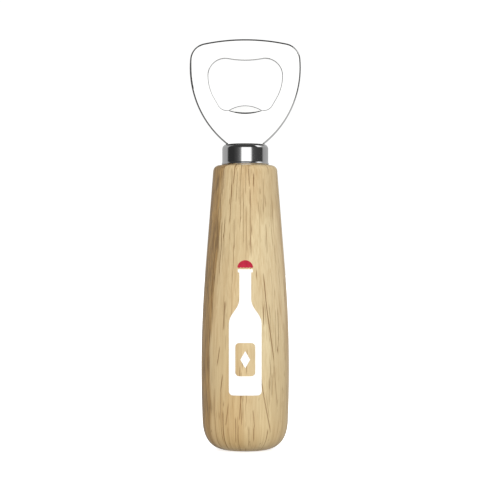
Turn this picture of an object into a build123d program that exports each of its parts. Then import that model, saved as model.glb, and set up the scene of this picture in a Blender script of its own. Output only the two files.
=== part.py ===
"""Wooden-handled bar bottle opener: a stamped steel head, a drawn ferrule and a turned handle.

Frame: millimetres, +Z up along the handle from butt to head, origin at the centre of the butt's flat.
The head is a flat plate in the XZ plane. Its front, and the print on the handle, face -Y.

The tang of the head runs down a drilled bore in the handle and is glued there. The ferrule is slid
over the tang first, so the head's shoulders stand on the handle's spigot and hold it in place.
"""

from build123d import *

import os
from math import asin, atan, cos, degrees, radians, sin, sqrt, tan

# ---- Driving dimensions ----------------------------------------------------------------------

# Handle, turned from one piece of hardwood
HANDLE_LENGTH = 113.5  # butt to the shoulder that the ferrule sits on
BUTT_FLAT_RADIUS = 6.5
BUTT_ROUND_HEIGHT = 11.6  # height over which the butt rounds into the side
BUTT_FULLNESS = 0.65  # Bezier handles as a share of the round's size: 0.55 is a quarter ellipse
WIDEST_RADIUS = 17.5
WIDEST_Z = 32.5
BELLY_RADIUS = 490.0  # radius of the long curve of the side, seen from the front
TAPER = 0.079  # loss of radius per millimetre towards the head
SHOULDER_ROUND = 2.4
SPIGOT_CHAMFER = 0.9
GLUE_GAP = 0.4  # between the spigot's end and the ferrule's ceiling
BORE_RADIUS = 4.5
BORE_BOTTOM_Z = 68.0
DRILL_POINT = radians(118)

# Ferrule, a drawn cup with a slot in its end
FERRULE_RADIUS = 9.2
FERRULE_HEIGHT = 8.5
FERRULE_WALL = 0.8
FERRULE_ROUND = 2.0
BEAD_RADIUS = 0.6  # rolled bead round the open edge
BEAD_PROUD = 0.22
BEAD_COVE = 0.5  # radius where the wall turns out into the bead
SLOT_CLEARANCE = 0.12
SLOT_EDGE_ROUND = 0.15

# Head, stamped from one plate
PLATE = 2.5
HEAD_TOP_Z = 164.0
HEAD_HALF_WIDTH = 22.25
HEAD_WIDEST_Z = 152.5
TOP_RADIUS = 80.0  # gentle arc of the top edge
CORNER_RADIUS = 7.0
FLANK_RADIUS = 39.0  # sides, running down into the ferrule
EDGE_ROUND = 0.8

# Cap opening in the head
OPENING_HALF_WIDTH = 14.8
OPENING_WIDEST_Z = 149.4
OPENING_BOTTOM_Z = 135.5
OPENING_TOP_Z = 155.45  # at the middle, where the top edge dips
OPENING_CORNER_RADIUS = 6.8
OPENING_SIDE_RADIUS = 18.0
OPENING_SIDE_LEAN = radians(30)
OPENING_FOOT_RADIUS = 3.8
OPENING_EDGE_ROUND = 0.3

# Tooth that hooks under the cap: a lens-shaped lip, half-sheared towards the back of the plate
TOOTH_HALF_WIDTH = 6.7
TOOTH_RISE = 2.0  # how far it stands up into the opening
TOOTH_SAG = 0.85  # how far its root curves down into the plate
TOOTH_STEP = 0.7  # set-back from the plate's front at the root
TOOTH_LEAN = radians(8)
TOOTH_TIP_ROUND = 0.3
ROOT_BEVEL_WIDTH = 0.65  # the plate's front is pressed down to the root over this width
ROOT_BEVEL_DEPTH = 0.45

# Tang of the head, inside the handle
TANG_WIDTH = 8.0
TANG_END_Z = 70.0
TANG_END_CHAMFER = 2.0
TANG_ROOT = 2.0  # how far the strip is let into the plate
NOTCH_RADIUS = 1.1  # glue keys in the tang's edges
NOTCH_HEIGHTS = (83.0, 93.0, 103.0)

# Ink printed on the front of the handle
INK = 0.07
PRINT_BOTTOM_Z = 23.0
BOTTLE_HALF_WIDTH = 6.4
BOTTLE_BODY = 27.5  # foot to where the shoulder starts
BOTTLE_SHOULDER = 10.5
BOTTLE_NECK = 10.0
BOTTLE_NECK_HALF_WIDTH = 2.3
BOTTLE_FOOT_ROUND = 1.6
BOTTLE_LIP = 1.2
BOTTLE_LIP_HALF_WIDTH = 2.9
LABEL_HALF_WIDTH = 3.9
LABEL_HEIGHT = 13.0
LABEL_BOTTOM = 7.5
LABEL_ROUND = 1.6
LOZENGE_HALF_WIDTH = 1.9
LOZENGE_HEIGHT = 6.6
CAP_GAP = 0.55
CAP_HEIGHT = 3.0
CAP_HALF_WIDTH = 3.1
CAP_TEETH = 5
CAP_SCALLOP = 0.3  # how far each tooth of the skirt dips

OVERRUN = 10.0  # how far a cutting or clipping shape runs past the thing it cuts

# ---- Sizes that follow from them -------------------------------------------------------------

FERRULE_TOP_Z = HANDLE_LENGTH + FERRULE_HEIGHT
FERRULE_CEILING_Z = FERRULE_TOP_Z - FERRULE_WALL
SPIGOT_RADIUS = FERRULE_RADIUS - FERRULE_WALL
SPIGOT_TOP_Z = FERRULE_CEILING_Z - GLUE_GAP


# ---- Small helpers ---------------------------------------------------------------------------


def along(start, end, distance):
    """The point that far from start on the way to end."""
    start, end = Vector(start), Vector(end)
    return start + (end - start).normalized() * distance


def arc(centre, start, end):
    """The shorter arc about centre from start to end, all points of a plane drawing."""
    centre, start, end = Vector(centre), Vector(start), Vector(end)
    middle = along(centre, (start + end) / 2, (start - centre).length)
    return ThreePointArc(start, middle, end)


def circles_meet(centre_a, radius_a, centre_b, radius_b):
    """Of the two points at those distances from two centres, the one further in +X."""
    a, b = Vector(centre_a), Vector(centre_b)
    gap = (b - a).length
    reach = (radius_a**2 - radius_b**2 + gap**2) / (2 * gap)
    side = sqrt(radius_a**2 - reach**2)
    way = (b - a) / gap
    foot = a + way * reach
    across = Vector(-way.Y, way.X)
    return max(foot + across * side, foot - across * side, key=lambda p: p.X)


def upright_face(half_edges):
    """A face in the XZ plane from the edges of its +X half, listed from axis to axis."""
    half = Curve() + list(half_edges)
    whole = Curve() + [*half.edges(), *mirror(half, about=Plane.YZ).edges()]
    return Plane.XZ * make_face(whole.edges())


def slab(face, front, back):
    """A face in the XZ plane made solid from y = front to y = back."""
    return Pos(0, back, 0) * extrude(face, amount=back - front)


def turned(edges):
    """The solid of revolution about Z of a closed profile drawn as (radius, z)."""
    return revolve(Plane.XZ * make_face(Curve() + list(edges)), Axis.Z)


# ---- Handle ----------------------------------------------------------------------------------


def side_curve(proud=0.0):
    """The side of the handle from butt to shoulder, as (radius, z) edges, and its last point."""
    widest = Vector(WIDEST_RADIUS + proud, WIDEST_Z)
    belly_centre = widest - Vector(BELLY_RADIUS, 0)
    lean = atan(TAPER)
    belly_top = belly_centre + Vector(cos(lean), sin(lean)) * BELLY_RADIUS
    dip = asin((WIDEST_Z - BUTT_ROUND_HEIGHT) / BELLY_RADIUS)
    belly_foot = belly_centre + Vector(cos(dip), -sin(dip)) * BELLY_RADIUS

    flat_edge = Vector(BUTT_FLAT_RADIUS, 0)
    out = flat_edge + Vector((belly_foot.X - flat_edge.X) * BUTT_FULLNESS, 0)
    up = belly_foot - Vector(sin(dip), cos(dip)) * (BUTT_ROUND_HEIGHT * BUTT_FULLNESS)

    run = HANDLE_LENGTH - belly_top.Y
    rim = belly_top + Vector(-TAPER * run, run)
    edges = [
        Bezier(flat_edge, out, up, belly_foot),
        arc(belly_centre, belly_foot, belly_top),
        Line(belly_top, rim),
    ]
    return edges, rim


def turned_side(proud=0.0):
    """The handle below its shoulder as a plain solid, with that much added to the side."""
    edges, rim = side_curve(proud)
    outline = [
        Line((0, 0), (BUTT_FLAT_RADIUS, 0)),
        *edges,
        Line(rim, (0, HANDLE_LENGTH)),
        Line((0, HANDLE_LENGTH), (0, 0)),
    ]
    return turned(outline)


def make_handle():
    body = turned_side()
    body = fillet(body.edges().group_by(Axis.Z)[-1], SHOULDER_ROUND)

    spigot_height = SPIGOT_TOP_Z - HANDLE_LENGTH
    spigot = Pos(0, 0, HANDLE_LENGTH) * extrude(Circle(SPIGOT_RADIUS), spigot_height)
    spigot = chamfer(spigot.edges().group_by(Axis.Z)[-1], SPIGOT_CHAMFER)
    return body + spigot - make_bore()


def make_bore():
    """The drilled hole as a solid, up to the end of the spigot."""
    point = BORE_BOTTOM_Z - BORE_RADIUS / tan(DRILL_POINT / 2)
    corners = [
        (0, point),
        (BORE_RADIUS, BORE_BOTTOM_Z),
        (BORE_RADIUS, SPIGOT_TOP_Z),
        (0, SPIGOT_TOP_Z),
    ]
    return turned(Polyline(*corners, close=True).edges())


# ---- Ferrule ---------------------------------------------------------------------------------


def make_hollow():
    """The space inside the ferrule."""
    depth = FERRULE_CEILING_Z - HANDLE_LENGTH
    hollow = Pos(0, 0, HANDLE_LENGTH) * extrude(Circle(SPIGOT_RADIUS), depth)
    return fillet(hollow.edges().group_by(Axis.Z)[-1], FERRULE_ROUND - FERRULE_WALL)


def make_ferrule():
    shell = Pos(0, 0, HANDLE_LENGTH) * extrude(Circle(FERRULE_RADIUS), FERRULE_HEIGHT)
    shell = fillet(shell.edges().group_by(Axis.Z)[-1], FERRULE_ROUND)
    bead_z = HANDLE_LENGTH + BEAD_RADIUS
    bead_centre = FERRULE_RADIUS + BEAD_PROUD - BEAD_RADIUS
    shell += Pos(0, 0, bead_z) * Torus(bead_centre, BEAD_RADIUS)
    low = [e for e in shell.edges() if bead_z < (e @ 0.5).Z < bead_z + BEAD_RADIUS]
    shell = fillet(low, BEAD_COVE)
    shell -= make_hollow()

    half_length = flank_point(FERRULE_TOP_Z).X + SLOT_CLEARANCE
    half_breadth = PLATE / 2 + SLOT_CLEARANCE
    slot = RectangleRounded(2 * half_length, 2 * half_breadth, EDGE_ROUND)
    shell -= Pos(0, 0, FERRULE_CEILING_Z - FERRULE_WALL) * extrude(slot, FERRULE_WALL + OVERRUN)

    # The slot's ends run out into the round of the top, so its rim isn't flat.
    high = [e for e in shell.edges() if (e @ 0.5).Z > FERRULE_TOP_Z - FERRULE_WALL / 4]
    rim = [e for e in high if abs((e @ 0.5).Y) < half_breadth + SLOT_EDGE_ROUND]
    return fillet(rim, SLOT_EDGE_ROUND)


# ---- Head ------------------------------------------------------------------------------------


def flank_centre():
    return Vector(HEAD_HALF_WIDTH - FLANK_RADIUS, HEAD_WIDEST_Z)


def flank_point(z):
    """The point of the head's flank at that height."""
    centre = flank_centre()
    return Vector(centre.X + sqrt(FLANK_RADIUS**2 - (z - centre.Y) ** 2), z)


def head_outline():
    """The plate down to the shoulders that stand on the spigot."""
    top = Vector(0, HEAD_TOP_Z)
    top_centre = top - Vector(0, TOP_RADIUS)
    flank = flank_centre()
    corner = circles_meet(
        top_centre, TOP_RADIUS - CORNER_RADIUS, flank, FLANK_RADIUS - CORNER_RADIUS
    )
    corner_start = along(top_centre, corner, TOP_RADIUS)
    corner_end = along(flank, corner, FLANK_RADIUS)
    shoulder = flank_point(SPIGOT_TOP_Z)
    return upright_face(
        [
            arc(top_centre, top, corner_start),
            arc(corner, corner_start, corner_end),
            arc(flank, corner_end, shoulder),
            Line(shoulder, (0, shoulder.Y)),
        ]
    )


def opening_outline():
    """The opening for the cap, without the tooth."""
    dip = Vector(0, OPENING_TOP_Z)
    corner = Vector(OPENING_HALF_WIDTH - OPENING_CORNER_RADIUS, OPENING_WIDEST_Z)
    # The dip's arc bulges into the opening and touches the corner's circle from outside.
    drop = dip.Y - corner.Y
    excess = corner.X**2 + drop**2 - OPENING_CORNER_RADIUS**2
    dip_radius = excess / (2 * (OPENING_CORNER_RADIUS - drop))
    dip_centre = dip + Vector(0, dip_radius)
    hump = along(dip_centre, corner, dip_radius)

    widest = Vector(OPENING_HALF_WIDTH, OPENING_WIDEST_Z)
    side_centre = widest - Vector(OPENING_SIDE_RADIUS, 0)
    lean = OPENING_SIDE_LEAN
    side_end = side_centre + Vector(cos(lean), -sin(lean)) * OPENING_SIDE_RADIUS
    fall = side_end.Y - OPENING_BOTTOM_Z
    foot_corner = Vector(side_end.X - fall * tan(lean), OPENING_BOTTOM_Z)
    tangent = OPENING_FOOT_RADIUS * tan((radians(90) - lean) / 2)
    foot_start = along(foot_corner, side_end, tangent)
    foot_end = foot_corner - Vector(tangent, 0)
    foot_centre = foot_end + Vector(0, OPENING_FOOT_RADIUS)
    return upright_face(
        [
            arc(dip_centre, dip, hump),
            arc(corner, hump, widest),
            arc(side_centre, widest, side_end),
            Line(side_end, foot_start),
            arc(foot_centre, foot_start, foot_end),
            Line(foot_end, (0, OPENING_BOTTOM_Z)),
        ]
    )


def tooth_outline(grown=0.0):
    """The lens of the tooth, whose corners lie on the opening's bottom edge, and that much larger."""
    corner = Vector(TOOTH_HALF_WIDTH + grown, OPENING_BOTTOM_Z)
    left = Vector(-corner.X, corner.Y)
    tip = Vector(0, OPENING_BOTTOM_Z + TOOTH_RISE + grown)
    root = Vector(0, OPENING_BOTTOM_Z - TOOTH_SAG - grown)
    lens = Curve() + [ThreePointArc(left, tip, corner), ThreePointArc(corner, root, left)]
    return Plane.XZ * make_face(lens.edges())


def root_bevel():
    """What the bevel round the tooth takes off the plate's front."""
    outer = Pos(0, -PLATE / 2 - ROOT_BEVEL_DEPTH, 0) * tooth_outline(2 * ROOT_BEVEL_WIDTH)
    inner = Pos(0, -PLATE / 2 + ROOT_BEVEL_DEPTH, 0) * tooth_outline()
    return loft([outer, inner], ruled=True)


def make_tooth():
    """The half-sheared lip: the lens cut out of a plate that leans back from its root."""
    root_z = OPENING_BOTTOM_Z - TOOTH_SAG
    lens = slab(tooth_outline(), -OVERRUN, OVERRUN)
    leaning = Box(2 * (TOOTH_HALF_WIDTH + OVERRUN), PLATE, 2 * OVERRUN)
    leaning = Pos(0, TOOTH_STEP, root_z) * Rot(-degrees(TOOTH_LEAN)) * leaning
    tooth = lens & leaning

    # Both tip edges and the root's back edge are free. The root's front edge lies against the plate.
    arcs = tooth.edges().filter_by(lambda edge: abs((edge @ 0.5).X) < 1)
    free = [e for e in arcs if (e @ 0.5).Z > OPENING_BOTTOM_Z or (e @ 0.5).Y > 0]
    return fillet(free, TOOTH_TIP_ROUND)


def plate_face(plate, y):
    """The flat face of the plate at that y."""
    return plate.faces().filter_by(Axis.Y).sort_by(lambda face: abs(face.center().Y - y))[0]


def make_plate():
    """The flat of the head with its opening, rounded along every edge that shows."""
    plate = slab(head_outline() - opening_outline(), -PLATE / 2, PLATE / 2)
    outer = [e for y in (-1, 1) for e in plate_face(plate, y).outer_wire().edges()]
    plate = fillet([e for e in outer if (e @ 0.5).Z > SPIGOT_TOP_Z + EDGE_ROUND], EDGE_ROUND)
    inner = [e for y in (-1, 1) for e in plate_face(plate, y).inner_wires()[0].edges()]
    plate = fillet(inner, OPENING_EDGE_ROUND)
    return plate - slab(tooth_outline(), -OVERRUN, OVERRUN) - root_bevel()


def make_tang():
    """The strip that runs down into the handle, notched for the glue to grip."""
    height = SPIGOT_TOP_Z - TANG_END_Z + TANG_ROOT
    tang = Pos(0, 0, TANG_END_Z + height / 2) * Box(TANG_WIDTH, PLATE, height)
    end_corners = tang.edges().filter_by(Axis.Y).group_by(Axis.Z)[0]
    tang = chamfer(end_corners, TANG_END_CHAMFER)
    notch = Rot(90) * Cylinder(NOTCH_RADIUS, OVERRUN)
    for z in NOTCH_HEIGHTS:
        for x in (-TANG_WIDTH / 2, TANG_WIDTH / 2):
            tang -= Pos(x, 0, z) * notch
    return tang


def make_head():
    return make_plate() + make_tooth() + make_tang()


# ---- Glue ------------------------------------------------------------------------------------


def make_adhesive(handle, head):
    """Cured epoxy round the tang, and between the end of the spigot and the ferrule."""
    return make_bore() + make_hollow() - handle - head


# ---- Print -----------------------------------------------------------------------------------


def printed(art):
    """An ink film on the front of the handle, in the shape of a face in the XZ plane."""
    film = turned_side(INK) - turned_side()
    return film & slab(art, -WIDEST_RADIUS - OVERRUN, 0)


def bottle_art():
    """A plain long-necked bottle with a label window and a lozenge on it."""
    foot = BOTTLE_FOOT_ROUND
    wide, narrow = BOTTLE_HALF_WIDTH, BOTTLE_NECK_HALF_WIDTH
    shoulder = PRINT_BOTTOM_Z + BOTTLE_BODY
    neck = shoulder + BOTTLE_SHOULDER
    lip = neck + BOTTLE_NECK
    top = lip + BOTTLE_LIP
    corner = Vector(wide - foot, PRINT_BOTTOM_Z + foot)
    bottle = upright_face(
        [
            Line((0, PRINT_BOTTOM_Z), (corner.X, PRINT_BOTTOM_Z)),
            arc(corner, (corner.X, PRINT_BOTTOM_Z), (wide, corner.Y)),
            Line((wide, corner.Y), (wide, shoulder)),
            Spline((wide, shoulder), (narrow, neck), tangents=((0, 1), (0, 1))),
            Line((narrow, neck), (narrow, lip)),
            Line((narrow, lip), (BOTTLE_LIP_HALF_WIDTH, lip)),
            Line((BOTTLE_LIP_HALF_WIDTH, lip), (BOTTLE_LIP_HALF_WIDTH, top)),
            Line((BOTTLE_LIP_HALF_WIDTH, top), (0, top)),
        ]
    )
    label_z = PRINT_BOTTOM_Z + LABEL_BOTTOM + LABEL_HEIGHT / 2
    middle = Plane.XZ * Pos(0, label_z)
    window = middle * RectangleRounded(2 * LABEL_HALF_WIDTH, LABEL_HEIGHT, LABEL_ROUND)
    half = LOZENGE_HEIGHT / 2
    tips = [(LOZENGE_HALF_WIDTH, 0), (0, half), (-LOZENGE_HALF_WIDTH, 0), (0, -half)]
    lozenge = middle * make_face(Polyline(*tips, close=True).edges())
    return bottle - window + lozenge


def cap_art():
    """A crown cap over the bottle, with a domed top and a fluted skirt."""
    body = BOTTLE_BODY + BOTTLE_SHOULDER + BOTTLE_NECK + BOTTLE_LIP
    foot = PRINT_BOTTOM_Z + body + CAP_GAP
    rim = foot + CAP_SCALLOP
    pitch = 2 * CAP_HALF_WIDTH / CAP_TEETH
    skirt = []
    for tooth in range(CAP_TEETH):
        left = tooth * pitch - CAP_HALF_WIDTH
        skirt.append(ThreePointArc((left, rim), (left + pitch / 2, foot), (left + pitch, rim)))
    dome = ThreePointArc(
        (CAP_HALF_WIDTH, rim), (0, foot + CAP_HEIGHT), (-CAP_HALF_WIDTH, rim)
    )
    return Plane.XZ * make_face([*skirt, dome])


# ---- The parts -------------------------------------------------------------------------------


def main():
    handle = make_handle()
    head = make_head()
    parts = {
        "handle": handle,
        "ferrule": make_ferrule(),
        "opener_head": head,
        "adhesive": make_adhesive(handle, head),
        "print_bottle": printed(bottle_art()),
        "print_cap": printed(cap_art()),
    }
    os.makedirs("parts", exist_ok=True)
    for name, solid in parts.items():
        solid.label = name
        export_step(solid, f"parts/{name}.step")


if __name__ == "__main__":
    main()
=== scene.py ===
"""Looks of a wooden-handled bottle opener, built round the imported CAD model.

Everything is in metres in the CAD frame: +Z up along the handle from its butt, and the front, with the
print, faces -Y. The steel head, the ferrule, the glue and the inks are the CAD nodes with procedural
materials. The handle is turned again here from the CAD node's own profile, as solid wood whose vessels
are cut open at the surface.
"""

from math import cos, pi, radians, sin

import bpy
import numpy as np
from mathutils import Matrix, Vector

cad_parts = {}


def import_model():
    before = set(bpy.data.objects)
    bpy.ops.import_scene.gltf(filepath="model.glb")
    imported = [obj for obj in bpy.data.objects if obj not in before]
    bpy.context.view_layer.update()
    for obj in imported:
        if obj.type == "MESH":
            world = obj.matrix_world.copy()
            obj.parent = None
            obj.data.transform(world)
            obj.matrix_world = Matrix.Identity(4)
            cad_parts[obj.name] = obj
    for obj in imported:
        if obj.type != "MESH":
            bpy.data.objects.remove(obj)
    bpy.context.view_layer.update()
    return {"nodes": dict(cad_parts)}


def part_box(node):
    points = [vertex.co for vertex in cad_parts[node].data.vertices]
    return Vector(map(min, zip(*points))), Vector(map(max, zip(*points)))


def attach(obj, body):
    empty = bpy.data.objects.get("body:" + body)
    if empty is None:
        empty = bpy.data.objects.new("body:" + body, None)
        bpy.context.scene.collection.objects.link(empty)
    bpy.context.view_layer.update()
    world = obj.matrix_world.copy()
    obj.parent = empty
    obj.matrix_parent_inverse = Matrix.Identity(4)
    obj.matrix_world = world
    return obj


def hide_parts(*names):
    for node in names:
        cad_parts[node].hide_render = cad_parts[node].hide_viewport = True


MM = 0.001
SAME = 1e-6  # two sizes that differ by less are the same

# ---- Camera ----------------------------------------------------------------------------------

CAMERA_DISTANCE = 694 * MM
CAMERA_HEIGHT = 81.7 * MM
CAMERA_ASIDE = -0.1 * MM
SENSOR_WIDTH = 36.0
LENS = 127.5  # both in millimetres of film

# ---- Light and studio ------------------------------------------------------------------------

KEY_AZIMUTH = radians(5)  # to the right of the camera
KEY_ELEVATION = radians(-2)
KEY_DISTANCE = 1.3
KEY_SIZE = 0.8
KEY_POWER = 8.4
AMBIENT = 1.08
POLE_LOSS = 0.95  # how much weaker the ambient light is from straight above and below
FLOOR_LOSS = 0.5  # how much of it moves from below to above
BACKDROP_WHITE = 1.05

# What polished steel mirrors, all round the horizon: (degrees to the right of the camera, brightness).
# A white sheet in front falls off towards dark flags, and a lit backdrop stands behind.
HORIZON = (
    (-180, 0.52),
    (-103, 0.40),
    (-94, 0.035),
    (-60, 0.035),
    (-42, 0.07),
    (-30, 0.15),
    (-21, 0.33),
    (-17.5, 1.30),
    (28.5, 1.30),
    (33, 0.24),
    (40, 0.09),
    (60, 0.06),
    (93, 0.05),
    (103, 0.38),
    (180, 0.52),
)

# What it mirrors above and below the horizon, the later ones in front of the earlier ones. Each is
# (two azimuths and how wide their edges fade, two elevations and the same, brightness), in degrees.
PANELS = (
    ((-85, 85, 20), (27, 91, 8), 0.05),  # a dark flag above the camera
    ((-180, 180, 1), (62, 91, 12), 0.06),  # the ceiling
    ((-45, 100, 8), (-91, -16, 8), 0.42),  # the floor in front
    ((25, 115, 15), (-91, -18, 10), 0.50),  # a lit table on the right
    ((72, 100, 5), (28, 53, 5), 1.2),  # a lamp high on the right
)

FLOOR_HALF = 4.0
FLOOR_TONE = (0.85, 0.85, 0.85, 1)
FLOOR_GLOW = 0.72  # keeps the floor nearly white, like the backdrop

# ---- Wood ------------------------------------------------------------------------------------

SEED = 11
COLUMNS = 640  # mesh columns round the handle
ROW_PITCH = 1.3 * MM
BUTT_ROW_PITCH = 0.7 * MM
BUTT_HEIGHT = 12 * MM  # below this the surface turns towards end grain
BUTT_STREAK_RADIUS = 9 * MM  # streaks stop here, and end grain begins
END_GRAIN = (0.4 * MM, 2.6 * MM)  # heights over which the figure turns into end grain
CUT_DEPTH = 0.06 * MM  # how deep the darkest vessels, streaks and cracks are let in
VESSEL_DENSITY = 5.0e6  # vessels per square metre of end grain
VESSEL_RADIUS = (0.08 * MM, 0.18 * MM)
VESSEL_LENGTH = (5 * MM, 26 * MM)
VESSEL_TAPER = 3 * MM  # length over which a vessel's end narrows
EARLY_WOOD = 0.35  # share of each growth ring that has the wide vessels
LATE_KEPT = 0.45  # share of the vessels left in the rest of the ring
LATE_SIZE = 0.6  # their size and darkness beside the wide ones
STREAKS = 1100  # bundles of fibres that the lathe has opened lengthwise
STREAK_WIDTH = (0.15 * MM, 0.36 * MM)
STREAK_LENGTH = (2.5 * MM, 24 * MM)
STREAK_TAPER = 1.6 * MM
OVERRUN = 10 * MM  # the middles of vessels and streaks lie up to this far past the handle's ends
LEAN_SPREAD = 0.012  # how far they stray from the fibres' way, as a slope
PITH = (-54 * MM, 65 * MM)  # centre of the growth rings, off to the left behind the handle
HEARTWOOD = 91.4 * MM  # the darker wood's reach from the pith, at the butt
HEART_LEAN = 0.016  # growth of that reach per length of handle, towards the head
HEART_EDGE = 1.3 * MM  # how softly it ends
HEART_RAG = (6 * MM, 5 * MM)  # how far broad streaks, and long tongues, reach across its edge
HEART_CORE = (77 * MM, 85 * MM)  # nearer to the pith than this it pales again
HONEY_Z = (56 * MM, 8 * MM)  # the wood warms towards the butt between these heights
SAPWOOD = (96.8 * MM, 100.5 * MM)  # the palest wood sets in over this reach
RING_PITCH = 2.7 * MM
FLARE = 2.2  # how fast fibres spread downwards, per metre
SLANT = 4.5 * MM  # how far the fibres on the right lean out besides, towards the butt
SLANT_X = (1.5 * MM, 8.5 * MM)  # it sets in across these places
SLANT_DROP = (35 * MM, 115 * MM)  # and over these distances from the top

# Long cracks on the front, in millimetres: (x, z) of the upper end, (x, z) of the lower, darkness.
CRACKS = (
    ((6.9, 71.0), (11.2, 35.5), 1.00),
    ((11.2, 35.5), (12.8, 18.0), 0.55),
    ((4.6, 40.0), (9.8, 8.0), 0.95),
    ((2.0, 104.0), (2.2, 77.0), 0.75),
    ((0.1, 113.0), (0.0, 102.0), 0.55),
    ((3.2, 109.5), (3.2, 104.5), 0.95),
    ((6.9, 108.0), (7.3, 94.0), 0.50),
    ((-5.4, 112.0), (-5.3, 100.0), 0.60),
    ((-3.2, 111.0), (-3.6, 98.5), 0.60),
    ((-4.2, 92.0), (-4.4, 80.0), 0.65),
    ((-7.8, 60.0), (-8.8, 48.0), 0.75),
    ((-10.2, 41.6), (-11.0, 34.6), 0.85),
    ((-8.8, 30.6), (-9.5, 24.5), 0.85),
    ((-6.6, 19.6), (-7.8, 11.0), 0.75),
    ((-4.0, 14.3), (-3.8, 4.2), 0.80),
    ((-1.2, 25.4), (-2.5, 13.0), 0.70),
    ((3.0, 17.4), (3.5, 10.4), 0.65),
    ((8.2, 24.0), (9.4, 14.0), 0.45),
    ((12.6, 41.4), (12.6, 39.9), 1.00),
)
CRACK_WIDTH = 0.36 * MM
CRACK_SWAY = 0.16 * MM
CRACK_WAVE = 5.3 * MM  # length of each wave of the sway, divided by 2 pi

PALE = (0.650, 0.505, 0.284, 1)
STRAW = (0.560, 0.420, 0.225, 1)
TAN = (0.385, 0.230, 0.090, 1)
HONEY = (0.520, 0.350, 0.146, 1)
CREAM = (0.745, 0.635, 0.400, 1)
COOL = (0.560, 0.465, 0.270, 1)
HEART = (0.385, 0.222, 0.066, 1)
HEART_DARK = (0.130, 0.066, 0.018, 1)
HEART_SHARE = 0.85
UMBER = (0.170, 0.072, 0.012, 1)

# ---- Metal, ink and glue ---------------------------------------------------------------------

HEAD_STEEL = (0.86, 0.86, 0.85, 1)
FERRULE_STEEL = (0.80, 0.80, 0.80, 1)
WHITE_INK = (0.90, 0.90, 0.89, 1)
WHITE_WORN = (0.84, 0.83, 0.80, 1)
RED_INK = (0.45, 0.012, 0.040, 1)
RED_WORN = (0.37, 0.009, 0.030, 1)
AMBER = (0.62, 0.42, 0.16, 1)
DEEP_AMBER = (0.45, 0.27, 0.08, 1)
BUBBLE = (0.80, 0.66, 0.40, 1)


# ---- Node helpers ----------------------------------------------------------------------------


def add(tree, kind, inputs=None, **settings):
    """A new node. An input takes a plain value, or a socket to be linked from."""
    made = tree.nodes.new(kind)
    for name, value in settings.items():
        setattr(made, name, value)
    for key, value in (inputs or {}).items():
        if isinstance(value, bpy.types.NodeSocket):
            tree.links.new(value, made.inputs[key])
        else:
            made.inputs[key].default_value = value
    return made


def calc(tree, operation, a, b=0.0, clamp=False):
    node = add(tree, "ShaderNodeMath", {0: a, 1: b}, operation=operation, use_clamp=clamp)
    return node.outputs[0]


def mix(tree, factor, a, b, blend="MIX"):
    """Colour a mixed with colour b."""
    node = add(
        tree, "ShaderNodeMix", {0: factor, 6: a, 7: b}, data_type="RGBA", blend_type=blend
    )
    return node.outputs[2]


def span(tree, value, low, high, to_low=0.0, to_high=1.0, smooth=False):
    """A value between low and high spread over to_low and to_high."""
    node = add(
        tree,
        "ShaderNodeMapRange",
        {"Value": value, 1: low, 2: high, 3: to_low, 4: to_high},
        interpolation_type="SMOOTHSTEP" if smooth else "LINEAR",
    )
    return node.outputs[0]


def noise(tree, place, scale, detail=2.0, roughness=0.5, distortion=0.0):
    inputs = {
        "Vector": place,
        "Scale": scale,
        "Detail": detail,
        "Roughness": roughness,
        "Distortion": distortion,
    }
    return add(tree, "ShaderNodeTexNoise", inputs).outputs["Fac"]


def stretched(tree, place, scale):
    """Coordinates multiplied axis by axis."""
    node = add(tree, "ShaderNodeVectorMath", {0: place, 1: scale}, operation="MULTIPLY")
    return node.outputs[0]


def new_material(name):
    """A material with its tree, its Principled shader and the coordinates of the CAD frame."""
    material = bpy.data.materials.new(name)
    material.use_nodes = True
    tree = material.node_tree
    tree.nodes.clear()
    shader = add(tree, "ShaderNodeBsdfPrincipled")
    add(tree, "ShaderNodeOutputMaterial", {"Surface": shader.outputs[0]})
    place = add(tree, "ShaderNodeTexCoord").outputs["Object"]
    return material, tree, shader, place


def feed(tree, shader, **sockets):
    """Sets or links the named sockets of a shader, with _ for each space."""
    for name, value in sockets.items():
        socket = shader.inputs[name.replace("_", " ")]
        if isinstance(value, bpy.types.NodeSocket):
            tree.links.new(value, socket)
        else:
            socket.default_value = value


def dress(piece, material):
    piece.data.materials.clear()
    piece.data.materials.append(material)


# ---- Wood: geometry --------------------------------------------------------------------------


def cad_profile(handle, shoulder_z):
    """The (radius, z) points of the CAD mesh's seam: the outside, then the spigot and the bore."""
    co = np.array([v.co for v in handle.data.vertices])
    seam = co[(np.abs(co[:, 1]) < SAME) & (co[:, 0] > 0)]
    points = np.unique(seam[:, [0, 2]].round(7), axis=0)
    high = points[:, 1].max()
    bore_radius = points[points[:, 1] == high, 0].min()
    spigot_radius = points[(points[:, 1] > shoulder_z + MM), 0].max()

    in_bore = points[:, 0] < bore_radius + SAME
    narrow = points[:, 0] < spigot_radius + SAME
    on_spigot = ~in_bore & narrow & (points[:, 1] > shoulder_z - SAME)
    outside = points[~in_bore & ~on_spigot]
    turn = np.arctan2(outside[:, 1] - shoulder_z / 2, outside[:, 0])
    outside = outside[np.argsort(turn)]

    spigot = points[on_spigot]
    spigot = spigot[np.lexsort((-spigot[:, 0], spigot[:, 1]))]
    bore = points[in_bore]
    bore = bore[np.lexsort((-bore[:, 0], -bore[:, 1]))]
    return outside, np.vstack([spigot, bore])


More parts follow.
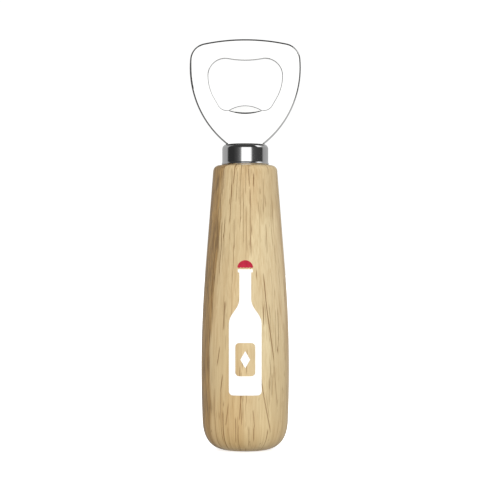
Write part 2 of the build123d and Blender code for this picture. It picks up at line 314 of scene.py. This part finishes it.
def smooth_rows(points):
    """More points on a smooth curve through the points of an outline."""
    steps = np.diff(points, axis=0)
    lengths = np.linalg.norm(steps, axis=1)
    ways = steps / lengths[:, None]
    tangents = np.empty_like(points)
    tangents[0], tangents[-1] = ways[0], ways[-1]
    for i in range(1, len(points) - 1):
        before, after = lengths[i - 1], lengths[i]
        # Where a long straight run meets a curve, the run's own way is the tangent
        if max(before, after) > 3 * min(before, after):
            tangents[i] = ways[i - 1] if before > after else ways[i]
        else:
            tangents[i] = (ways[i - 1] * after + ways[i] * before) / (before + after)
    rows = []
    for i, length in enumerate(lengths):
        pitch = BUTT_ROW_PITCH if points[i, 1] < BUTT_HEIGHT else ROW_PITCH
        count = max(1, int(np.ceil(length / pitch)))
        t = np.arange(count)[:, None] / count
        start = points[i] * (2 * t**3 - 3 * t**2 + 1) + points[i + 1] * (3 * t**2 - 2 * t**3)
        bend = tangents[i] * (t**3 - 2 * t**2 + t) + tangents[i + 1] * (t**3 - t**2)
        rows.append(start + bend * length)
    rows.append(points[-1:])
    return np.vstack(rows)


def smoothstep(value, low, high):
    """0 below low, 1 above high, and a smooth rise between."""
    t = np.clip((value - low) / (high - low), 0, 1)
    return t * t * (3 - 2 * t)


def fan(x, z, top):
    """How far a fibre has moved in x from its place at the top of the handle."""
    drop = top - z
    slant = SLANT * smoothstep(x, *SLANT_X) * smoothstep(drop, *SLANT_DROP)
    return x * FLARE * drop + slant


def columns_round(column, reach):
    """The mesh columns up to that reach from each place, and how far off they are, in columns."""
    near = np.round(column)
    for side in range(-reach, reach + 1):
        yield (near + side).astype(int) % COLUMNS, near + side - column


def vessels(rows, rng):
    """How deep each vertex of the turned surface lies inside an open vessel, from 0 to 1."""
    radius, z = rows[:, 0], rows[:, 1]
    reach = radius.max() + MM
    count = int(VESSEL_DENSITY * pi * reach**2)
    r = reach * np.sqrt(rng.random(count))
    turn = rng.random(count) * 2 * pi
    x0, y0 = r * np.cos(turn), r * np.sin(turn)

    ring = np.hypot(x0 - PITH[0], y0 - PITH[1]) / RING_PITCH
    early = (ring % 1) < EARLY_WOOD
    kept = early | (rng.random(count) < LATE_KEPT)
    x0, y0, early = x0[kept], y0[kept], early[kept]
    count = len(x0)

    low, high = VESSEL_RADIUS
    strength = rng.random(count) ** 1.4
    rank = np.where(early, 1.0, LATE_SIZE)
    bore = low + (high - low) * strength * rank
    darkness = (0.15 + 0.85 * strength) * rank
    middle = rng.random(count) * (z.max() + 2 * OVERRUN) - OVERRUN
    half = rng.uniform(*VESSEL_LENGTH, count) / 2
    lean_x, lean_y = rng.normal(0, LEAN_SPREAD, (2, count))
    sway = rng.uniform(0.05 * MM, 0.35 * MM, (2, count))
    wave = 2 * pi / rng.uniform(25 * MM, 80 * MM, (2, count))
    phase = rng.random((2, count)) * 2 * pi

    depth = np.zeros((len(rows), COLUMNS))
    for k in range(len(rows)):
        if radius[k] < MM:
            continue
        up = z[k] - middle
        x = x0 + fan(x0, z[k], z.max()) + lean_x * up + sway[0] * np.sin(wave[0] * z[k] + phase[0])
        y = y0 + lean_y * up + sway[1] * np.sin(wave[1] * z[k] + phase[1])
        taper = np.clip((half - np.abs(up)) / VESSEL_TAPER, 0, 1)
        size = bore * np.sqrt(taper)
        gap = np.hypot(x, y) - radius[k]
        hit = np.abs(gap) < size
        column = (np.arctan2(y[hit], x[hit]) / (2 * pi) * COLUMNS) % COLUMNS
        pitch = 2 * pi * radius[k] / COLUMNS
        for there, away in columns_round(column, 3):
            inside = 1 - ((away * pitch) ** 2 + gap[hit] ** 2) / size[hit] ** 2
            value = np.sqrt(np.clip(inside, 0, 1)) * darkness[hit]
            np.maximum.at(depth[k], there, value)
    return depth


def cut_streaks(rows, depth, rng):
    """Deepens the surface along thin streaks that follow it from end to end."""
    radius, z = rows[:, 0], rows[:, 1]
    turn = rng.random(STREAKS) * 2 * pi
    middle = rng.random(STREAKS) * (z.max() + 2 * OVERRUN) - OVERRUN
    short, long = STREAK_LENGTH
    half = short * (long / short) ** rng.random(STREAKS) / 2
    width = rng.uniform(*STREAK_WIDTH, STREAKS)
    darkness = 0.1 + 0.9 * rng.random(STREAKS) ** 2.2
    lean = rng.normal(0, LEAN_SPREAD, STREAKS)
    sway = rng.uniform(0.03 * MM, 0.22 * MM, STREAKS)
    wave = 2 * pi / rng.uniform(9 * MM, 40 * MM, STREAKS)
    phase = rng.random(STREAKS) * 2 * pi
    for k in range(len(rows)):
        if radius[k] < BUTT_STREAK_RADIUS:
            continue
        up = z[k] - middle
        hit = np.abs(up) < half
        aside = lean * up + sway * np.sin(wave * z[k] + phase)
        column = ((turn + aside / radius[k]) / (2 * pi) * COLUMNS)[hit]
        taper = np.clip((half - np.abs(up)) / STREAK_TAPER, 0, 1)[hit]
        pitch = 2 * pi * radius[k] / COLUMNS
        for there, away in columns_round(column, 2):
            value = np.clip(1.3 - np.abs(away) * pitch / width[hit] * 2, 0, 1) * taper * darkness[hit]
            np.maximum.at(depth[k], there, value)


def cut_cracks(rows, depth):
    """Deepens the front of the surface along the long cracks."""
    turn = np.arange(COLUMNS) / COLUMNS * 2 * pi
    x = rows[:, :1] * np.cos(turn)
    z = np.repeat(rows[:, 1:], COLUMNS, axis=1)
    front = np.sin(turn)[None, :] < 0
    for (top_x, top_z), (foot_x, foot_z), darkness in CRACKS:
        down = (top_z * MM - z) / ((top_z - foot_z) * MM)
        # Each crack sways in its own phase
        sway = CRACK_SWAY * np.sin(z / CRACK_WAVE + 40 * top_x * MM)
        middle = (top_x + (foot_x - top_x) * down) * MM + sway
        taper = np.clip(np.minimum(down, 1 - down) * 8 + 0.35, 0, 1)
        cut = np.clip(1.25 - np.abs(x - middle) / CRACK_WIDTH * 2, 0, 1) * taper * darkness
        inside = front & (down >= 0) & (down <= 1)
        depth[:] = np.where(inside, np.maximum(depth, cut), depth)


def turned_mesh(name, rows, depth):
    """A closed mesh of revolution, with each vertex let in along its normal by its depth."""
    way = np.gradient(rows, axis=0)
    way /= np.linalg.norm(way, axis=1)[:, None]
    inward = np.stack([-way[:, 1], way[:, 0]], axis=1)
    turn = np.arange(COLUMNS) / COLUMNS * 2 * pi
    radius = rows[:, :1] + inward[:, :1] * depth * CUT_DEPTH
    height = rows[:, 1:] + inward[:, 1:] * depth * CUT_DEPTH
    rings = np.stack([radius * np.cos(turn), radius * np.sin(turn), height], axis=2)

    top_pole, foot_pole = (0, 0, rows[-1, 1]), (0, 0, rows[0, 1])
    vertices = np.vstack([rings.reshape(-1, 3), [foot_pole, top_pole]])
    foot, tip = len(vertices) - 2, len(vertices) - 1
    here = np.arange(COLUMNS)
    there = (here + 1) % COLUMNS
    faces = []
    for k in range(len(rows) - 1):
        a, b = k * COLUMNS, (k + 1) * COLUMNS
        faces += np.stack([a + here, a + there, b + there, b + here], axis=1).tolist()
    last = (len(rows) - 1) * COLUMNS
    faces += [[foot, j, i] for i, j in zip(here.tolist(), there.tolist())]
    faces += [[tip, last + i, last + j] for i, j in zip(here.tolist(), there.tolist())]

    mesh = bpy.data.meshes.new(name)
    mesh.from_pydata(vertices.tolist(), [], faces)
    mesh.polygons.foreach_set("use_smooth", [True] * len(mesh.polygons))
    return mesh, vertices


def store(mesh, name, values, kind):
    field = "vector" if kind == "FLOAT_VECTOR" else "value"
    layer = mesh.attributes.new(name, kind, "POINT")
    layer.data.foreach_set(field, np.asarray(values, np.float32).ravel())


def make_handle(handle, shoulder_z):
    """The turned wood that is seen in place of the CAD handle."""
    outside, inside = cad_profile(handle, shoulder_z)
    outer_rows = smooth_rows(outside)
    flat = np.array([[outer_rows[0, 0] * share, outer_rows[0, 1]] for share in (0.25, 0.5, 0.75)])
    outer_rows = np.vstack([flat, outer_rows])
    rng = np.random.default_rng(SEED)
    depth = vessels(outer_rows, rng)
    cut_streaks(outer_rows, depth, rng)
    cut_cracks(outer_rows, depth)
    rows = np.vstack([outer_rows, inside])
    depth = np.vstack([depth, np.zeros((len(inside), COLUMNS))])
    mesh, vertices = turned_mesh("handle_wood", rows, depth)
    x, y, z = vertices.T

    # Round the butt the figure is the side's, drawn inwards, until end grain takes over
    side_radius = np.interp(BUTT_HEIGHT, outside[:, 1], outside[:, 0])
    spread = np.maximum(side_radius / np.maximum(np.hypot(x, y), MM), 1)
    spread = 1 + (spread - 1) * smoothstep(z, *END_GRAIN) * (z < BUTT_HEIGHT)
    x, y = x * spread, y * spread

    # Each fibre's place at the top of the handle, found in two rounds
    top = rows[:, 1].max()
    root = x - fan(x, z, top)
    root = x - fan(root, z, top)
    store(mesh, "pore", np.append(depth.ravel(), [0, 0]), "FLOAT")
    store(mesh, "grain", np.stack([root, y, z], axis=1), "FLOAT_VECTOR")
    piece = bpy.data.objects.new("handle_wood", mesh)
    bpy.context.scene.collection.objects.link(piece)
    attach(piece, "root")
    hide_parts("handle")
    dress(piece, wood_material())
    return piece


# ---- Wood: material --------------------------------------------------------------------------


def wood_material():
    """Pale hardwood under a satin lacquer, figured by where each fibre runs in the solid wood."""
    material, tree, shader, _ = new_material("lacquered_wood")
    grain = add(tree, "ShaderNodeAttribute", attribute_name="grain").outputs["Vector"]
    pore = add(tree, "ShaderNodeAttribute", attribute_name="pore").outputs["Fac"]

    def fibres(stretch, *settings):
        """A noise drawn out along the grain."""
        return noise(tree, stretched(tree, grain, (1, 1, stretch)), *settings)

    # Growth rings about the pith, bent by a slow noise
    centred = add(tree, "ShaderNodeVectorMath", {0: grain, 1: (*PITH, 0)}, operation="SUBTRACT")
    flat = stretched(tree, centred.outputs[0], (1, 1, 0))
    reach = add(tree, "ShaderNodeVectorMath", {0: flat}, operation="LENGTH").outputs["Value"]
    bend = fibres(0.12, 140, 2, 0.5)
    ring = calc(tree, "ADD", calc(tree, "DIVIDE", reach, RING_PITCH), calc(tree, "MULTIPLY", bend, 1.4))
    phase = calc(tree, "FRACT", ring)
    late = calc(tree, "MULTIPLY", span(tree, phase, 0, 0.85, smooth=True), span(tree, phase, 1.0, 0.9))

    # Bundles of fibres: broad streaks, finer ones inside them, and single dark threads
    broad = fibres(0.035, 480, 3, 0.6)
    fine = fibres(0.045, 1700, 3, 0.7)
    thread = fibres(0.05, 2300, 1, 0.5, 0.3)
    patches = fibres(0.25, 90, 2, 0.5)

    height = add(tree, "ShaderNodeSeparateXYZ", {0: grain}).outputs["Z"]
    colour = mix(tree, span(tree, broad, 0.38, 0.64), PALE, STRAW)
    colour = mix(tree, span(tree, reach, *SAPWOOD, 0, 0.85), colour, CREAM)
    colour = mix(tree, span(tree, height, *HONEY_Z, 0, 0.6), colour, HONEY)
    colour = mix(tree, calc(tree, "MULTIPLY", late, 0.28), colour, TAN)
    colour = mix(tree, span(tree, fine, 0.42, 0.68, 0, 0.34), colour, TAN)
    colour = mix(tree, span(tree, thread, 0.58, 0.66, 0, 0.32), colour, TAN)
    colour = mix(tree, span(tree, patches, 0.42, 0.62, 0, 0.3), colour, COOL)

    # Heartwood near the pith, with a ragged edge
    tongues = fibres(0.16, 210, 2, 0.6)
    ragged = calc(tree, "ADD", reach, calc(tree, "MULTIPLY", broad, HEART_RAG[0]))
    ragged = calc(tree, "ADD", ragged, calc(tree, "MULTIPLY", tongues, HEART_RAG[1]))
    ragged = calc(tree, "SUBTRACT", ragged, calc(tree, "MULTIPLY", height, HEART_LEAN))
    heart = span(tree, ragged, HEARTWOOD, HEARTWOOD + HEART_EDGE, HEART_SHARE, 0, smooth=True)
    heart = calc(tree, "MULTIPLY", heart, span(tree, ragged, *HEART_CORE, 0.2, 1, smooth=True))
    heartwood = mix(tree, span(tree, fine, 0.40, 0.62), HEART, HEART_DARK)
    colour = mix(tree, heart, colour, heartwood)

    # Open vessels and cracks, and the dirt and shadow in them
    colour = mix(tree, span(tree, pore, 0.04, 0.85, 0.0, 0.95), colour, UMBER)

    relief = calc(tree, "SUBTRACT", calc(tree, "MULTIPLY", fine, 0.6), pore)
    bump = add(tree, "ShaderNodeBump", {"Strength": 0.25, "Distance": 0.03 * MM, "Height": relief})
    feed(
        tree,
        shader,
        Base_Color=colour,
        Roughness=span(tree, calc(tree, "ADD", fine, pore), 0.3, 1.2, 0.42, 0.62),
        Normal=bump.outputs["Normal"],
        Coat_Weight=0.22,
        Coat_Roughness=0.28,
        Coat_IOR=1.5,
        Specular_IOR_Level=0.35,
    )
    return material


# ---- Metal, ink and glue: materials ----------------------------------------------------------


def steel_material(name, tone, roughness, wear):
    """Polished stainless steel with hairline scratches."""
    material, tree, shader, place = new_material(name)
    smudge = noise(tree, place, 130, 3, 0.6)
    hair = noise(tree, stretched(tree, place, (1, 1, 0.03)), 5200, 2, 0.6)
    marks = span(tree, hair, 0.62, 0.78, 0, wear)
    shine = calc(tree, "ADD", span(tree, smudge, 0.35, 0.7, roughness, roughness * 1.5), marks)
    shade = mix(tree, span(tree, smudge, 0.3, 0.7), tone, tuple(c * 0.97 for c in tone[:3]) + (1,))
    bump = add(tree, "ShaderNodeBump", {"Strength": 0.05, "Distance": 0.01 * MM, "Height": hair})
    feed(
        tree,
        shader,
        Base_Color=shade,
        Metallic=1.0,
        Roughness=shine,
        Normal=bump.outputs["Normal"],
    )
    return material


def ink_material(name, colour, worn):
    """Opaque pad-printed ink, a little uneven, with pinholes."""
    material, tree, shader, place = new_material(name)
    cloud = noise(tree, place, 500, 2, 0.5)
    fleck = noise(tree, stretched(tree, place, (1, 1, 0.35)), 3800, 2, 0.6)
    tone = mix(tree, span(tree, cloud, 0.35, 0.7), colour, worn)
    tone = mix(tree, span(tree, fleck, 0.72, 0.8, 0, 0.5), tone, worn)
    bump = add(tree, "ShaderNodeBump", {"Strength": 0.2, "Distance": 0.02 * MM, "Height": fleck})
    feed(
        tree,
        shader,
        Base_Color=tone,
        Roughness=span(tree, fleck, 0.3, 0.8, 0.42, 0.60),
        Normal=bump.outputs["Normal"],
        Specular_IOR_Level=0.25,
    )
    return material


def glue_material():
    """Cured amber epoxy with bubbles."""
    material, tree, shader, place = new_material("amber_epoxy")
    bubble = add(
        tree, "ShaderNodeTexVoronoi", {"Vector": place, "Scale": 1400.0}
    ).outputs["Distance"]
    cloud = noise(tree, place, 260, 3, 0.6)
    amber = mix(tree, span(tree, cloud, 0.3, 0.7), AMBER, DEEP_AMBER)
    amber = mix(tree, span(tree, bubble, 0.22, 0.12), amber, BUBBLE)
    bump = add(tree, "ShaderNodeBump", {"Strength": 0.3, "Distance": 0.05 * MM, "Height": bubble})
    feed(
        tree,
        shader,
        Base_Color=amber,
        Roughness=span(tree, cloud, 0.3, 0.7, 0.18, 0.35),
        Normal=bump.outputs["Normal"],
    )
    return material


# ---- Studio ----------------------------------------------------------------------------------


def make_camera():
    camera = bpy.data.cameras.new("camera")
    camera.sensor_width = SENSOR_WIDTH
    camera.lens = LENS
    camera.clip_start = 10 * MM
    camera.clip_end = 50.0
    eye = bpy.data.objects.new("camera", camera)
    eye.location = (CAMERA_ASIDE, -CAMERA_DISTANCE, CAMERA_HEIGHT)
    eye.rotation_euler = (radians(90), 0, 0)
    bpy.context.scene.collection.objects.link(eye)
    bpy.context.scene.camera = eye


def make_key(centre):
    """A soft lamp that lights the wood but isn't mirrored by the steel."""
    lamp = bpy.data.lights.new("key", "AREA")
    lamp.shape = "DISK"
    lamp.size = KEY_SIZE
    lamp.energy = KEY_POWER
    key = bpy.data.objects.new("key", lamp)
    aside = sin(KEY_AZIMUTH) * cos(KEY_ELEVATION)
    ahead = cos(KEY_AZIMUTH) * cos(KEY_ELEVATION)
    way = Vector((aside, -ahead, sin(KEY_ELEVATION)))
    key.location = centre + way * KEY_DISTANCE
    key.rotation_euler = way.to_track_quat("Z", "Y").to_euler()
    key.visible_glossy = False
    key.visible_camera = False
    bpy.context.scene.collection.objects.link(key)


def window(tree, value, low, high, soft):
    """1 between two limits in degrees, falling to 0 over soft degrees outside them."""
    low, high, soft = radians(low), radians(high), radians(soft)
    opens = span(tree, value, low - soft, low, smooth=True)
    return calc(tree, "MULTIPLY", opens, span(tree, value, high, high + soft, 1, 0, smooth=True))


def horizon_glow(tree, azimuth):
    """The brightness all round the horizon, from the stops of HORIZON."""
    ramp = add(tree, "ShaderNodeValToRGB", {0: span(tree, azimuth, -pi, pi)})
    stops = ramp.color_ramp.elements
    for place, (degrees, glow) in enumerate(HORIZON):
        position = degrees / 360 + 0.5
        # A new ramp has two stops already
        stop = stops[place] if place < 2 else stops.new(position)
        stop.position = position
        stop.color = (glow, glow, glow, 1)
    return ramp.outputs["Color"]


def mirrored_glow(tree, way):
    """What a mirror sees in each direction, and how high that direction points."""
    part = add(tree, "ShaderNodeSeparateXYZ", {0: way}).outputs
    rise = calc(tree, "ARCSINE", part["Z"])
    azimuth = calc(tree, "ARCTAN2", part["X"], calc(tree, "MULTIPLY", part["Y"], -1.0))
    glow = horizon_glow(tree, azimuth)
    for azimuths, elevations, level in PANELS:
        across = window(tree, azimuth, *azimuths)
        share = calc(tree, "MULTIPLY", window(tree, rise, *elevations), across)
        glow = mix(tree, share, glow, (level, level, level, 1))
    return glow, part["Z"]


def make_world():
    """White to the camera, soft to matt surfaces, and a studio of sheets and flags to shiny ones."""
    world = bpy.data.worlds.new("studio")
    world.use_nodes = True
    # Rays find the world by themselves, so that each kind of ray gets its own light.
    world.cycles.sampling_method = "NONE"
    tree = world.node_tree
    tree.nodes.clear()
    way = add(tree, "ShaderNodeTexCoord").outputs["Generated"]
    mirrored, height = mirrored_glow(tree, way)

    # The soft light is strongest round the horizon.
    lift = calc(tree, "SUBTRACT", FLOOR_LOSS, calc(tree, "MULTIPLY", height, POLE_LOSS))
    share = calc(tree, "ADD", calc(tree, "MULTIPLY", height, lift), 1.0)
    ambient = calc(tree, "MULTIPLY", calc(tree, "MAXIMUM", share, 0.0), AMBIENT)
    rays = add(tree, "ShaderNodeLightPath").outputs
    glow = mix(tree, rays["Is Diffuse Ray"], mirrored, ambient)
    white = (BACKDROP_WHITE, BACKDROP_WHITE, BACKDROP_WHITE, 1)
    glow = mix(tree, rays["Is Camera Ray"], glow, white)
    background = add(tree, "ShaderNodeBackground", {"Color": glow, "Strength": 1.0})
    add(tree, "ShaderNodeOutputWorld", {"Surface": background.outputs[0]})
    bpy.context.scene.world = world


def make_floor():
    """A pale floor that the opener stands on. It lights nothing and is mirrored by nothing."""
    mesh = bpy.data.meshes.new("floor")
    corners = [(x * FLOOR_HALF, y * FLOOR_HALF, 0) for x, y in ((-1, -1), (1, -1), (1, 1), (-1, 1))]
    mesh.from_pydata(corners, [], [(0, 1, 2, 3)])
    floor = bpy.data.objects.new("floor", mesh)
    bpy.context.scene.collection.objects.link(floor)
    material, tree, shader, _ = new_material("pale_floor")
    feed(
        tree,
        shader,
        Base_Color=FLOOR_TONE,
        Roughness=0.9,
        Emission_Color=(1, 1, 1, 1),
        Emission_Strength=FLOOR_GLOW,
    )
    dress(floor, material)
    floor.visible_diffuse = False
    floor.visible_glossy = False
    floor.visible_shadow = False


def main():
    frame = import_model()
    nodes = frame["nodes"]

    shoulder_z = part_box("ferrule")[0].z
    make_handle(nodes["handle"], shoulder_z)
    dress(nodes["opener_head"], steel_material("polished_head", HEAD_STEEL, 0.05, 0.06))
    dress(nodes["ferrule"], steel_material("polished_ferrule", FERRULE_STEEL, 0.08, 0.08))
    dress(nodes["adhesive"], glue_material())
    dress(nodes["print_bottle"], ink_material("white_ink", WHITE_INK, WHITE_WORN))
    dress(nodes["print_cap"], ink_material("red_ink", RED_INK, RED_WORN))

    make_camera()
    make_key(Vector((0, 0, CAMERA_HEIGHT)))
    make_world()
    make_floor()
    bpy.context.scene.view_settings.view_transform = "Standard"


main()
